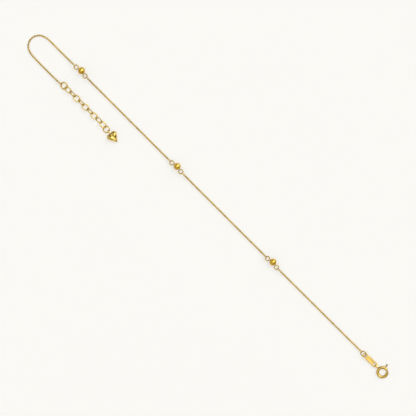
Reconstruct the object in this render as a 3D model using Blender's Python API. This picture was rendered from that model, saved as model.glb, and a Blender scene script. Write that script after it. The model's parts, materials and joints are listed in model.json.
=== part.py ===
"""Beaded anklet in yellow gold, lying open on a flat surface.

A fine cable chain carries three faceted beads. One end has a spring ring clasp on an oblong tag,
the other an extender of larger links with a puffed heart. Units are metres and +Z is up. The main
strand runs along X with the clasp at +X. Places are worked out from bead 3, the bead nearest the
U-turn, and the whole then moves so that the middle of its base is the origin.
"""

import math
from dataclasses import dataclass

import bmesh
import bpy
import numpy as np
from mathutils import Euler, Matrix, Vector

MM = 0.001

# Fine chain, in four strands numbered from the clasp
CHAIN_WIDTH = 0.82 * MM
CHAIN_END_GAP = 0.06 * MM
CHAIN_POINT_SPACING = 2.55 * MM
CHAIN_SETTLING = 4.5 * MM
CLASP_STRAND_LENGTH = 47.2 * MM
CLASP_STRAND_RISE_Y = 0.18 * MM

# The last strand's way round from bead 3 to the extender, in millimetres from the bead's centre
U_TURN_ROUTE = (
    (-6.8, -0.51), (-11.8, -0.52), (-17.8, -0.50), (-19.85, -0.78), (-21.85, -1.55),
    (-23.25, -3.15), (-23.75, -5.25), (-23.15, -7.35), (-21.65, -8.87), (-19.65, -9.61),
    (-16.55, -9.87), (-8.3, -9.93), (-2.43, -9.83),
)

# Faceted beads, whose loops lie flat and are bent to one side of the pin's stem
BEAD_COUNT = 3
BEAD_SPACING = 55.0 * MM
BEAD_ACROSS_FLATS = 2.8 * MM
BEAD_LENGTH = 2.65 * MM
BEAD_FACETS_ROUND = 8
BEAD_SHOULDER_TILT = math.radians(45)
PIN_WIRE = 0.44 * MM
PIN_CLEARANCE = 0.08 * MM
PIN_LOOP_WIDTH = 2.15 * MM
PIN_LOOP_STANDOFF = 0.15 * MM
PIN_LOOP_SIDESTEP = 0.48 * MM

# Tag and the jump ring that joins it to the chain
TAG_HOLE_SPACING = 5.38 * MM
TAG_HOLE_WIDTH = 1.3 * MM
TAG_END_WIDTH = 2.24 * MM
TAG_NECK_WIDTH = 1.84 * MM
TAG_PLATE_WIDTH = 2.1 * MM
TAG_PLATE_LENGTH = 2.6 * MM
TAG_THICKNESS = 0.26 * MM
TAG_ROLL = math.radians(-7)
TAG_RING_WIDTH = 2.7 * MM
TAG_RING_WIRE = 0.38 * MM
TAG_RING_ROLL = math.radians(36)
TAG_RING_CLEARANCE = 0.56 * MM
TAG_SWING_Y = 0.15 * MM

# Spring ring clasp: angles run anticlockwise from +X, seen from above
CLASP_WIDTH = 5.0 * MM
CLASP_TUBE = 1.14 * MM
CLASP_WALL = 0.14 * MM
BORE_OVERRUN = math.radians(2)
CLASP_MOUTH_START = math.radians(44)
CLASP_MOUTH_END = math.radians(78)
BOLT_CLEARANCE = 0.1 * MM
BOLT_ENGAGEMENT = math.radians(6)
BOLT_TAIL = math.radians(14)
KNOB_ANGLE = math.radians(103)
KNOB_NECK = 0.42 * MM
KNOB_WIDTH = 0.78 * MM
KNOB_REACH = 1.28 * MM
SLOT_CLEARANCE = 0.09 * MM
TRIGGER_TRAVEL = math.radians(40)
EYE_WIRE = 0.4 * MM
EYE_REACH = 1.95 * MM
EYE_SINK = 0.35 * MM
EYE_CLEARANCE = 0.14 * MM

# Extender: rolls are about X, and the flatter links ride on the steeper ones
END_RING_WIDTH = 3.3 * MM
END_RING_WIRE = 0.52 * MM
END_RING_ROLL = math.radians(29)
END_RING_RISE_Y = 0.5 * MM
LINK_LENGTH = 3.515 * MM
LINK_WIDTH = 2.65 * MM
LINK_WIRE = 0.42 * MM
LINK_ROLLS = tuple(math.radians(roll) for roll in (-35, 64, -20, 65, -18, 64, -22, 50, -24))
LINK_STEEP_ROLL = math.radians(45)
LINK_RIDE_SHARE = 0.75
LINK_PLAY = 0.05 * MM
HEART_RING_WIDTH = 3.2 * MM
HEART_RING_WIRE = 0.44 * MM
HEART_RING_ROLL = math.radians(30)
HEART_RING_DROP_Y = 0.38 * MM

# Puffed heart: a section's size and height are shares of the outline and of half the thickness
HEART_WIDTH = 4.5 * MM
HEART_LENGTH = 4.8 * MM
HEART_THICKNESS = 2.3 * MM
HEART_YAW = math.radians(-6)
HEART_LOBE_SHARE = 0.27
HEART_LOBE_POINTS = 5
HEART_SIDE_POINTS = 2
HEART_SECTIONS = (
    {"size": 1.0, "height": 0.12, "shift": 0.0},
    {"size": 0.76, "height": 0.72, "shift": 0.5},
    {"size": 0.38, "height": 1.0, "shift": 0.0},
)
HEART_VALLEY = 0.45
HEART_SEAM = 0.62
BAIL_LENGTH = 2.3 * MM
BAIL_WIDTH = 1.6 * MM
BAIL_WIRE = 0.38 * MM
BAIL_SINK = 0.2 * MM

# Fineness of the meshes
LOOP_POINTS = 16
LINK_ROUNDING = 1
TUBE_ROUNDING = 2
CLASP_ROUNDING = 4
ARC_STEP = math.radians(7.5)
ROUND_SIDES = 12
EDGE_SAMPLES = 8
HOOK_STEP = 0.01 * MM


@dataclass
class Loop:
    """A closed wire, by its outer sizes, with its place and its turns about X, Y, then Z."""

    length: float
    width: float
    wire: float
    centre: Vector
    roll: float = 0.0
    pitch: float = 0.0
    yaw: float = 0.0

    def half_length(self):
        return (self.length - self.wire) / 2

    def half_width(self):
        return (self.width - self.wire) / 2

    def local_points(self):
        """Two half circles, moved apart by straight sides where the loop is longer than wide."""
        radius = self.half_width()
        straight = self.half_length() - radius
        turns = [math.tau * (step + 0.5) / LOOP_POINTS for step in range(LOOP_POINTS)]
        return [
            Vector(
                (
                    radius * math.cos(turn) + math.copysign(straight, math.cos(turn)),
                    radius * math.sin(turn),
                    0,
                )
            )
            for turn in turns
        ]

    def rotation(self):
        return Euler((self.roll, self.pitch, self.yaw))

    def centre_line(self):
        """The wire's middle as an array of close points, along the straight sides of the mesh."""
        place = Matrix.Translation(self.centre) @ self.rotation().to_matrix().to_4x4()
        corners = [place @ point for point in self.local_points()]
        following = corners[1:] + corners[:1]
        steps = [step / EDGE_SAMPLES for step in range(EDGE_SAMPLES)]
        return np.array([a.lerp(b, step) for a, b in zip(corners, following) for step in steps])

    def resting_height(self):
        return self.half_width() * abs(math.sin(self.roll)) + self.wire / 2


def clear_scene():
    for item in list(bpy.data.objects):
        bpy.data.objects.remove(item, do_unlink=True)
    for collection in list(bpy.data.collections):
        bpy.data.collections.remove(collection)


def new_collection(name):
    collection = bpy.data.collections.new(name)
    bpy.context.scene.collection.children.link(collection)
    return collection


def gold(name, colour, roughness):
    material = bpy.data.materials.new(name)
    material.use_nodes = True
    shader = material.node_tree.nodes["Principled BSDF"]
    shader.inputs["Base Color"].default_value = (*colour, 1)
    shader.inputs["Roughness"].default_value = roughness
    shader.inputs["Metallic"].default_value = 1
    return material


clear_scene()
ANKLET = new_collection("beaded_anklet")
CUTTERS = new_collection("cutters")
CUTTERS.hide_render = True

CHAIN_GOLD = gold("chain_gold", (0.78, 0.55, 0.17), 0.24)
BEAD_GOLD = gold("bead_gold", (0.86, 0.58, 0.14), 0.12)
HEART_GOLD = gold("heart_gold", (0.84, 0.58, 0.15), 0.14)
CLASP_GOLD = gold("clasp_gold", (0.85, 0.60, 0.17), 0.16)


def add_object(name, data, material=None):
    piece = bpy.data.objects.new(name, data)
    ANKLET.objects.link(piece)
    if material:
        data.materials.append(material)
    return piece


def wire(name, points, diameter, material, closed=False, rounding=TUBE_ROUNDING):
    """A round wire along points, as a curve with filled caps."""
    curve = bpy.data.curves.new(name, "CURVE")
    curve.dimensions = "3D"
    curve.bevel_depth = diameter / 2
    curve.bevel_resolution = rounding
    curve.use_fill_caps = True
    spline = curve.splines.new("POLY")
    spline.points.add(len(points) - 1)
    for target, point in zip(spline.points, points):
        target.co = (*point, 1)
    spline.use_cyclic_u = closed
    return add_object(name, curve, material)


def loop_wire(name, loop, material):
    piece = wire(name, loop.local_points(), loop.wire, material, True, LINK_ROUNDING)
    piece.location = loop.centre
    piece.rotation_euler = loop.rotation()
    return piece


def as_mesh(piece):
    """The curve object's shape as a closed mesh object of the same name and place."""
    bpy.context.view_layer.update()
    graph = bpy.context.evaluated_depsgraph_get()
    mesh = bpy.data.meshes.new_from_object(piece.evaluated_get(graph))
    name = piece.name
    place = piece.matrix_world.copy()
    bpy.data.objects.remove(piece, do_unlink=True)
    shape = bmesh.new()
    shape.from_mesh(mesh)
    bmesh.ops.remove_doubles(shape, verts=shape.verts, dist=0.0001 * MM)
    shape.to_mesh(mesh)
    shape.free()
    made = bpy.data.objects.new(name, mesh)
    made.matrix_world = place
    ANKLET.objects.link(made)
    return made


def object_from(name, shape, material=None):
    bmesh.ops.recalc_face_normals(shape, faces=shape.faces)
    mesh = bpy.data.meshes.new(name)
    shape.to_mesh(mesh)
    shape.free()
    return add_object(name, mesh, material)


def cylinder(name, diameter, length, centre, direction):
    """A round bar whose middle is at centre and whose axis is along direction."""
    shape = bmesh.new()
    turn = Vector(direction).to_track_quat("Z", "Y").to_matrix().to_4x4()
    bmesh.ops.create_cone(
        shape,
        cap_ends=True,
        segments=ROUND_SIDES,
        radius1=diameter / 2,
        radius2=diameter / 2,
        depth=length,
        matrix=Matrix.Translation(centre) @ turn,
    )
    return object_from(name, shape)


def ball(name, diameter, centre):
    shape = bmesh.new()
    bmesh.ops.create_uvsphere(
        shape,
        u_segments=ROUND_SIDES,
        v_segments=ROUND_SIDES // 2,
        radius=diameter / 2,
        matrix=Matrix.Translation(centre),
    )
    return object_from(name, shape)


def combine(piece, other, operation):
    """Adds other to piece, or cuts it away, and keeps other as a hidden helper."""
    ANKLET.objects.unlink(other)
    CUTTERS.objects.link(other)
    other.hide_render = True
    other.display_type = "WIRE"
    boolean = piece.modifiers.new(f"{operation.lower()} {other.name}", "BOOLEAN")
    boolean.operation = operation
    boolean.object = other
    boolean.solver = "EXACT"


def arc(radius, start, end):
    """Points along an arc about the origin, anticlockwise from start to end."""
    count = max(2, math.ceil((end - start) / ARC_STEP) + 1)
    turns = np.linspace(start, end, count)
    return [Vector((radius * math.cos(turn), radius * math.sin(turn), 0)) for turn in turns]


def smooth_curve(points, spacing):
    """Evenly spaced points on a smooth curve through the given ones."""
    known = np.array(points, float)
    ends = (2 * known[0] - known[1], 2 * known[-1] - known[-2])
    padded = np.vstack([ends[0], known, ends[1]])
    share = np.linspace(0, 1, 40, endpoint=False)[:, None]
    path = []
    for before, start, end, after in zip(padded, padded[1:], padded[2:], padded[3:]):
        slope_start = (end - before) / 2
        slope_end = (after - start) / 2
        path.append(
            (2 * share**3 - 3 * share**2 + 1) * start
            + (share**3 - 2 * share**2 + share) * slope_start
            + (3 * share**2 - 2 * share**3) * end
            + (share**3 - share**2) * slope_end
        )
    path = np.vstack([*path, known[-1:]])
    travelled = np.concatenate([[0], np.cumsum(np.linalg.norm(np.diff(path, axis=0), axis=1))])
    stops = np.linspace(0, travelled[-1], max(3, round(travelled[-1] / spacing) + 1))
    return np.column_stack([np.interp(stops, travelled, column) for column in path.T])


def lifted(path, start_height, end_height):
    """The flat path with heights: raised at both ends and settling on the surface between them."""
    steps = np.linalg.norm(np.diff(path, axis=0), axis=1)
    from_start = np.concatenate([[0], np.cumsum(steps)])
    from_end = from_start[-1] - from_start
    rest = CHAIN_WIDTH / 2
    height = rest + (start_height - rest) * fade(from_start) + (end_height - rest) * fade(from_end)
    return np.column_stack([path, height])


def fade(distance):
    """1 at a strand's end, easing to 0 where the chain has settled."""
    return 0.5 + 0.5 * np.cos(np.pi * np.clip(distance / CHAIN_SETTLING, 0, 1))


def strand(number, points, start_height, end_height):
    path = lifted(smooth_curve(points, CHAIN_POINT_SPACING), start_height, end_height)
    wire(f"chain_strand_{number}", path, CHAIN_WIDTH, CHAIN_GOLD)


def hooked(held, loop):
    """Moves loop along X until it hangs in held, pulled towards +X with LINK_PLAY to spare."""
    loop.centre.x = held.centre.x + held.half_length()
    held_line = held.centre_line()
    line = loop.centre_line()
    nearest = (held.wire + loop.wire) / 2 + LINK_PLAY
    moved = 0.0
    while True:
        line[:, 0] += HOOK_STEP
        apart = np.linalg.norm(held_line[:, None] - line[None], axis=2).min()
        if apart < nearest:
            break
        moved += HOOK_STEP
    loop.centre.x += moved
    return loop


BEAD_HEIGHT = BEAD_ACROSS_FLATS / 2
PIN_LOOP_X = BEAD_LENGTH / 2 + PIN_LOOP_STANDOFF + PIN_LOOP_WIDTH / 2
CHAIN_END_X = PIN_LOOP_X + PIN_LOOP_WIDTH / 2 + CHAIN_END_GAP


def cut_facet(shape, normal, distance):
    everything = shape.verts[:] + shape.edges[:] + shape.faces[:]
    cut = bmesh.ops.bisect_plane(
        shape, geom=everything, plane_co=normal * distance, plane_no=normal, clear_outer=True
    )
    rim = [item for item in cut["geom_cut"] if isinstance(item, bmesh.types.BMEdge)]
    bmesh.ops.edgeloop_fill(shape, edges=rim)


def bead_mesh():
    """A round bead cut all over with flat facets, in three rows round X, one facet facing down."""
    shape = bmesh.new()
    bmesh.ops.create_cube(shape, size=1)
    block = (BEAD_LENGTH, 2 * BEAD_ACROSS_FLATS, 2 * BEAD_ACROSS_FLATS)
    bmesh.ops.scale(shape, vec=block, verts=shape.verts)
    step = math.tau / BEAD_FACETS_ROUND
    for facet in range(BEAD_FACETS_ROUND):
        girdle = Matrix.Rotation(step * facet, 3, "X") @ Vector((0, 0, -1))
        cut_facet(shape, girdle, BEAD_ACROSS_FLATS / 2)
        between = Matrix.Rotation(step * (facet + 0.5), 3, "X") @ Vector((0, 0, -1))
        for side in (-1, 1):
            along = Vector((side * math.sin(BEAD_SHOULDER_TILT), 0, 0))
            cut_facet(shape, along + between * math.cos(BEAD_SHOULDER_TILT), BEAD_ACROSS_FLATS / 2)
    return shape


def make_bead(number, centre):
    bead = object_from(f"bead_{number}", bead_mesh(), BEAD_GOLD)
    bead.location = centre
    bore_width = PIN_WIRE + 2 * PIN_CLEARANCE
    bore = cylinder(f"bead_bore_{number}", bore_width, 2 * BEAD_LENGTH, Vector(), (1, 0, 0))
    bore.location = centre
    combine(bead, bore, "DIFFERENCE")


def make_bead_pin(number, centre):
    """The wire through the bead: its stem ends in the middle of each loop's wire."""
    loop_radius = (PIN_LOOP_WIDTH - PIN_WIRE) / 2
    stem_reach = PIN_LOOP_X - math.sqrt(loop_radius**2 - PIN_LOOP_SIDESTEP**2)
    pin = cylinder(f"bead_pin_{number}", PIN_WIRE, 2 * stem_reach, Vector(), (1, 0, 0))
    pin.data.materials.append(BEAD_GOLD)
    pin.location = centre
    for side, end in ((-1, "back"), (1, "front")):
        place = centre + Vector((side * PIN_LOOP_X, -PIN_LOOP_SIDESTEP, 0))
        loop = Loop(PIN_LOOP_WIDTH, PIN_LOOP_WIDTH, PIN_WIRE, place)
        combine(pin, as_mesh(loop_wire(f"pin_loop_{end}_{number}", loop, None)), "UNION")


def make_beads():
    """The beads and pins, numbered from the clasp. Returns their centres in that order."""
    centres = []
    for number in range(1, BEAD_COUNT + 1):
        centre = Vector((BEAD_SPACING * (BEAD_COUNT - number), 0, BEAD_HEIGHT))
        make_bead(number, centre)
        make_bead_pin(number, centre)
        centres.append(centre)
    return centres


def tag_half_width(x):
    """Half the tag's width at x: a plate, a neck and then a round end."""
    away = abs(x)
    end_radius = TAG_END_WIDTH / 2
    from_hole = away - TAG_HOLE_SPACING / 2
    round_end = math.sqrt(max(0.0, end_radius**2 - from_hole**2))
    if away >= TAG_HOLE_SPACING / 2:
        return round_end
    past_plate = (away - TAG_PLATE_LENGTH / 2) / (TAG_HOLE_SPACING / 2 - TAG_PLATE_LENGTH / 2)
    blend = 0.5 - 0.5 * math.cos(math.pi * min(1, max(0, 2 * past_plate)))
    neck = TAG_PLATE_WIDTH / 2 + (TAG_NECK_WIDTH - TAG_PLATE_WIDTH) / 2 * blend
    return max(neck, round_end)


def tag_outline():
    """The tag's outline, anticlockwise from its +X tip."""
    tip = (TAG_HOLE_SPACING + TAG_END_WIDTH) / 2
    shares = [math.cos(math.pi * step / 36) for step in range(37)]
    upper = [(tip * share, tag_half_width(tip * share)) for share in shares]
    lower = [(x, -y) for x, y in reversed(upper[1:-1])]
    return upper + lower


def circle(diameter, centre_x):
    turns = [math.tau * step / ROUND_SIDES for step in range(ROUND_SIDES)]
    return [
        (centre_x + diameter / 2 * math.cos(turn), diameter / 2 * math.sin(turn)) for turn in turns
    ]


def flat_plate(name, outlines, thickness, material):
    curve = bpy.data.curves.new(name, "CURVE")
    curve.dimensions = "2D"
    curve.fill_mode = "BOTH"
    curve.extrude = thickness / 2
    for outline in outlines:
        spline = curve.splines.new("POLY")
        spline.points.add(len(outline) - 1)
        for target, (x, y) in zip(spline.points, outline):
            target.co = (x, y, 0, 1)
        spline.use_cyclic_u = True
    return add_object(name, curve, material)


def make_tag_ring(chain_end):
    """The jump ring at the chain's end, lying on its lower side."""
    ring = Loop(TAG_RING_WIDTH, TAG_RING_WIDTH, TAG_RING_WIRE, Vector(), TAG_RING_ROLL)
    x = chain_end[0] + 2 * CHAIN_END_GAP + TAG_RING_WIDTH / 2
    ring.centre = Vector((x, chain_end[1], ring.resting_height()))
    loop_wire("tag_ring", ring, CLASP_GOLD)
    return ring


def eye_height():
    return TAG_THICKNESS + 2 * (EYE_WIRE + EYE_CLEARANCE)


def make_tag(ring):
    """The tag, from the ring's wire down to the clasp's eye. Returns the centre of its far hole."""
    ring_tip = ring.centre.x + ring.half_length()
    hole_x = ring_tip + TAG_HOLE_WIDTH / 2 - TAG_RING_WIRE / 2 - TAG_RING_CLEARANCE
    near_hole = Vector((hole_x, ring.centre.y, ring.centre.z))
    drop = near_hole.z - eye_height() / 2
    pitch = math.asin(drop / TAG_HOLE_SPACING)
    yaw = math.asin(TAG_SWING_Y / TAG_HOLE_SPACING)
    run = TAG_HOLE_SPACING * math.cos(pitch)
    far_hole = near_hole + Vector((run * math.cos(yaw), run * math.sin(yaw), -drop))
    holes = [circle(TAG_HOLE_WIDTH, side * TAG_HOLE_SPACING / 2) for side in (-1, 1)]
    tag = flat_plate("tag", [tag_outline(), *holes], TAG_THICKNESS, CLASP_GOLD)
    tag.location = (near_hole + far_hole) / 2
    tag.rotation_euler = (TAG_ROLL, pitch, yaw)
    return far_hole


def clasp_centre(far_hole):
    """The middle of the spring ring, whose eye passes through the tag's far hole."""
    inside_eye = far_hole.x + TAG_HOLE_WIDTH / 2 - 2 * EYE_CLEARANCE
    ring_side = inside_eye - EYE_WIRE + EYE_REACH
    return Vector((ring_side + CLASP_WIDTH / 2, far_hole.y, CLASP_TUBE / 2))


def clasp_tube(name, line, width, material=None):
    return as_mesh(wire(name, line, width, material, rounding=CLASP_ROUNDING))


def make_spring_ring():
    """The clasp's hollow C, with the slot that the knob runs in and the eye soldered on."""
    radius = (CLASP_WIDTH - CLASP_TUBE) / 2
    start = CLASP_MOUTH_END
    end = CLASP_MOUTH_START + math.tau
    body = clasp_tube("spring_ring", arc(radius, start, end), CLASP_TUBE, CLASP_GOLD)
    eye_length = EYE_REACH + EYE_SINK
    eye_x = -CLASP_WIDTH / 2 + EYE_SINK - eye_length / 2
    eye_z = eye_height() / 2 - CLASP_TUBE / 2
    eye = Loop(eye_length, eye_height(), EYE_WIRE, Vector((eye_x, 0, eye_z)), math.radians(90))
    combine(body, as_mesh(loop_wire("clasp_eye", eye, None)), "UNION")
    bore_width = CLASP_TUBE - 2 * CLASP_WALL
    bore_line = arc(radius, start - BORE_OVERRUN, end + BORE_OVERRUN)
    combine(body, clasp_tube("clasp_bore", bore_line, bore_width), "DIFFERENCE")
    slot_width = KNOB_NECK + 2 * SLOT_CLEARANCE
    slot_line = arc(CLASP_WIDTH / 2, KNOB_ANGLE, KNOB_ANGLE + TRIGGER_TRAVEL)
    combine(body, clasp_tube("clasp_slot", slot_line, slot_width), "DIFFERENCE")
    for end_name, angle in (("closed", KNOB_ANGLE), ("open", KNOB_ANGLE + TRIGGER_TRAVEL)):
        outward = Vector((math.cos(angle), math.sin(angle), 0))
        middle = outward * CLASP_WIDTH / 2
        hole = cylinder(f"clasp_slot_{end_name}", slot_width, CLASP_TUBE, middle, outward)
        combine(body, hole, "DIFFERENCE")
    return body


def make_trigger():
    """The curved bolt with its neck and knob, about the middle of the spring ring."""
    radius = (CLASP_WIDTH - CLASP_TUBE) / 2
    bolt_width = CLASP_TUBE - 2 * (CLASP_WALL + BOLT_CLEARANCE)
    bolt_line = arc(radius, CLASP_MOUTH_START - BOLT_ENGAGEMENT, KNOB_ANGLE + BOLT_TAIL)
    trigger = as_mesh(wire("trigger", bolt_line, bolt_width, CLASP_GOLD))
    outward = Vector((math.cos(KNOB_ANGLE), math.sin(KNOB_ANGLE), 0))
    knob_middle = CLASP_WIDTH / 2 + KNOB_REACH - KNOB_WIDTH / 2
    neck_middle = outward * (radius + knob_middle) / 2
    neck = cylinder("trigger_neck", KNOB_NECK, knob_middle - radius, neck_middle, outward)
    combine(trigger, neck, "UNION")
    combine(trigger, ball("trigger_knob", KNOB_WIDTH, outward * knob_middle), "UNION")
    return trigger


def make_clasp(far_hole):
    """The spring ring and its trigger, both about the pivot that the trigger turns on."""
    pivot = bpy.data.objects.new("clasp_pivot", None)
    pivot.location = clasp_centre(far_hole)
    ANKLET.objects.link(pivot)
    for piece in (make_spring_ring(), make_trigger()):
        piece.parent = pivot
        for modifier in piece.modifiers:
            modifier.object.parent = pivot


def make_end_ring(chain_end):
    ring = Loop(END_RING_WIDTH, END_RING_WIDTH, END_RING_WIRE, Vector(), END_RING_ROLL)
    x = chain_end[0] + CHAIN_END_GAP + END_RING_WIDTH / 2
    ring.centre = Vector((x, chain_end[1] + END_RING_RISE_Y, ring.resting_height()))
    loop_wire("end_ring", ring, CHAIN_GOLD)
    return ring


def ride_height():
    """How high the flatter links lie, carried by the steeper ones."""
    steepest = Loop(LINK_LENGTH, LINK_WIDTH, LINK_WIRE, Vector(), max(LINK_ROLLS))
    return LINK_RIDE_SHARE * steepest.resting_height()


def make_extender(end_ring):
    """The row of links, each hooked in the one before. Returns the last."""
    last = end_ring
    line_y = end_ring.centre.y
    for number, roll in enumerate(LINK_ROLLS, 1):
        link = Loop(LINK_LENGTH, LINK_WIDTH, LINK_WIRE, Vector(), roll)
        link.centre = Vector((0, line_y, ride_height()))
        if roll > LINK_STEEP_ROLL:
            link.centre.z = link.resting_height()
            link.centre.y += (link.centre.z - ride_height()) / math.tan(roll)
        loop_wire(f"extender_link_{number}", hooked(last, link), CHAIN_GOLD)
        last = link
    return last


def make_heart_ring(last_link):
    """The ring that climbs from the last link to the heart's bail."""
    ring = Loop(HEART_RING_WIDTH, HEART_RING_WIDTH, HEART_RING_WIRE, Vector(), HEART_RING_ROLL)
    climb = HEART_THICKNESS / 2 - last_link.centre.z
    ring.pitch = -math.asin(climb / (2 * ring.half_length()))
    line_y = last_link.centre.y - HEART_RING_DROP_Y
    ring.centre = Vector((0, line_y, last_link.centre.z + climb / 2))
    loop_wire("heart_ring", hooked(last_link, ring), CHAIN_GOLD)
    return ring


def heart_outline():
    """The heart's outline from its notch round to the notch, with the tip towards +X."""
    radius = HEART_LOBE_SHARE * HEART_WIDTH
    side = HEART_WIDTH / 2 - radius
    back = -HEART_LENGTH / 2 + radius
    tip = Vector((HEART_LENGTH / 2, 0))
    middle = Vector((back, side))
    to_tip = tip - middle
    leaves = math.atan2(to_tip.y, to_tip.x) + math.acos(radius / to_tip.length)
    meets = math.tau - math.acos(-math.sqrt(radius**2 - side**2) / radius)
    turns = np.linspace(meets, leaves, HEART_LOBE_POINTS)
    lobe = [middle + radius * Vector((math.cos(turn), math.sin(turn))) for turn in turns]
    side_shares = [step / (HEART_SIDE_POINTS + 1) for step in range(1, HEART_SIDE_POINTS + 1)]
    edge = lobe + [lobe[-1].lerp(tip, share) for share in side_shares]
    mirrored = [Vector((point.x, -point.y)) for point in reversed(edge[1:])]
    return [*edge, tip, *mirrored]


def heart_section(section, side):
    """One ring of corners: shift moves each corner towards the next, which makes the facets.

    The heart is fullest across its two lobes and falls away towards the notch and the tip.
    """
    outline = heart_outline()
    following = outline[1:] + outline[:1]
    height = side * section["height"] * HEART_THICKNESS / 2
    flat = [a.lerp(b, section["shift"]) * section["size"] for a, b in zip(outline, following)]
    widest = max(point.y for point in flat)
    falls = [HEART_VALLEY * section["height"] * (1 - abs(point.y) / widest) for point in flat]
    return [Vector((point.x, point.y, height * (1 - fall))) for point, fall in zip(flat, falls)]


def bridge(shape, ring, shifted):
    """Facets between a ring and one whose corners lie between its corners, or level with them."""
    for index, corner in enumerate(ring):
        ahead = (index + 1) % len(ring)
        shape.faces.new((corner, ring[ahead], shifted[index]))
        shape.faces.new((ring[ahead], shifted[ahead], shifted[index]))


def heart_mesh():
    """The heart as a loft through its sections, each side closed round a low middle."""
    shape = bmesh.new()
    stack = [(section, -1) for section in reversed(HEART_SECTIONS)]
    stack += [(section, 1) for section in HEART_SECTIONS]
    rings = [[shape.verts.new(point) for point in heart_section(*level)] for level in stack]
    for ring, side in ((rings[0], -1), (rings[-1], 1)):
        middle = shape.verts.new((0, 0, side * HEART_SEAM * HEART_THICKNESS / 2))
        for corner, following in zip(ring, ring[1:] + ring[:1]):
            shape.faces.new((corner, following, middle))
    for lower, upper, (below, _), (above, _) in zip(rings, rings[1:], stack, stack[1:]):
        if below["shift"] <= above["shift"]:
            bridge(shape, lower, upper)
        else:
            bridge(shape, upper, lower)
    return shape


def make_heart(ring):
    """The heart with the bail that the ring passes through."""
    bail = Loop(BAIL_LENGTH, BAIL_WIDTH, BAIL_WIRE, Vector(), math.radians(90), yaw=HEART_YAW)
    bail.centre = Vector((0, ring.centre.y, HEART_THICKNESS / 2))
    hooked(ring, bail)
    notch = heart_outline()[0]
    heart = object_from("heart", heart_mesh(), HEART_GOLD)
    bail_to_heart = BAIL_LENGTH / 2 - BAIL_SINK - notch.x
    towards_tip = Vector((math.cos(HEART_YAW), math.sin(HEART_YAW), 0))
    heart.location = bail.centre + bail_to_heart * towards_tip
    heart.rotation_euler.z = HEART_YAW
    combine(heart, as_mesh(loop_wire("heart_bail", bail, None)), "UNION")


def make_strands(bead_centres, clasp_end, tag_ring, extender_end, end_ring):
    """The four strands, each a small gap short of the loops and rings that its links hook in."""
    start = (bead_centres[0].x + CHAIN_END_X, -PIN_LOOP_SIDESTEP)
    strand(1, (start, clasp_end), BEAD_HEIGHT, tag_ring.centre.z)
    for number, (near, far) in enumerate(zip(bead_centres, bead_centres[1:]), 2):
        start = (far.x + CHAIN_END_X, -PIN_LOOP_SIDESTEP)
        end = (near.x - CHAIN_END_X, -PIN_LOOP_SIDESTEP)
        strand(number, (start, end), BEAD_HEIGHT, BEAD_HEIGHT)
    last = bead_centres[-1]
    route = [(last.x - CHAIN_END_X, -PIN_LOOP_SIDESTEP)]
    route += [(last.x + x * MM, last.y + y * MM) for x, y in U_TURN_ROUTE[:-1]]
    route.append(extender_end)
    strand(len(bead_centres) + 1, route, BEAD_HEIGHT, end_ring.centre.z)


def rest_on_origin():
    """Parents everything to one empty and moves it so that the middle of the base is the origin."""
    bpy.context.view_layer.update()
    graph = bpy.context.evaluated_depsgraph_get()
    corners = []
    for piece in ANKLET.objects:
        if piece.type == "EMPTY":
            continue
        shown = piece.evaluated_get(graph)
        mesh = shown.to_mesh()
        corners += [shown.matrix_world @ vertex.co for vertex in mesh.vertices]
        shown.to_mesh_clear()
    low = Vector([min(corner[axis] for corner in corners) for axis in range(3)])
    high = Vector([max(corner[axis] for corner in corners) for axis in range(3)])
    root = bpy.data.objects.new("anklet", None)
    ANKLET.objects.link(root)
    for piece in [*ANKLET.objects, *CUTTERS.objects]:
        if piece is not root and piece.parent is None:
            piece.parent = root
    root.location = (-(low.x + high.x) / 2, -(low.y + high.y) / 2, -low.z)


def main():
    bead_centres = make_beads()
    clasp_end = (
        bead_centres[0].x + CHAIN_END_X + CLASP_STRAND_LENGTH,
        CLASP_STRAND_RISE_Y - PIN_LOOP_SIDESTEP,
    )
    tag_ring = make_tag_ring(clasp_end)
    make_clasp(make_tag(tag_ring))
    last = bead_centres[-1]
    extender_end = (last.x + U_TURN_ROUTE[-1][0] * MM, last.y + U_TURN_ROUTE[-1][1] * MM)
    end_ring = make_end_ring(extender_end)
    make_heart(make_heart_ring(make_extender(end_ring)))
    make_strands(bead_centres, clasp_end, tag_ring, extender_end, end_ring)
    rest_on_origin()


main()
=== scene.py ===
"""Looks of the beaded anklet: fine wire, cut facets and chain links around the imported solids.

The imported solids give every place. Rings, links and pins are made again in round wire, the chain's
tubes give way to interlocking links, and the cut pieces keep their facets with fine edges. Lengths
are metres and angles radians.
"""

import json
import math

import bmesh
import bpy
import numpy as np
from mathutils import Matrix, Vector


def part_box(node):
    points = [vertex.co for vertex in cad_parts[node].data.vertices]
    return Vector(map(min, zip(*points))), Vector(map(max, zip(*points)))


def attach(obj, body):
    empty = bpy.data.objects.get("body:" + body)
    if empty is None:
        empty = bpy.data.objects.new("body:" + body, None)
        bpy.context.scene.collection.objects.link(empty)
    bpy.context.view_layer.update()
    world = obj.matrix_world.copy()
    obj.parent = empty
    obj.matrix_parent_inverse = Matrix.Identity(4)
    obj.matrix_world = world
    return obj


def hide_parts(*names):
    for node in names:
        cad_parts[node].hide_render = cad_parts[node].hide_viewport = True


MM = 0.001

# Camera: straight above, with the photo's width across the surface and its turn about Z
PHOTO_WIDTH = 169.3 * MM
PHOTO_CENTRE = (0.0, 1.18 * MM)
PHOTO_TURN = math.radians(45)
LENS = 200.0
SENSOR = 36.0
NEAREST_SHOWN = 0.05
FARTHEST_SHOWN = 50

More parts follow.
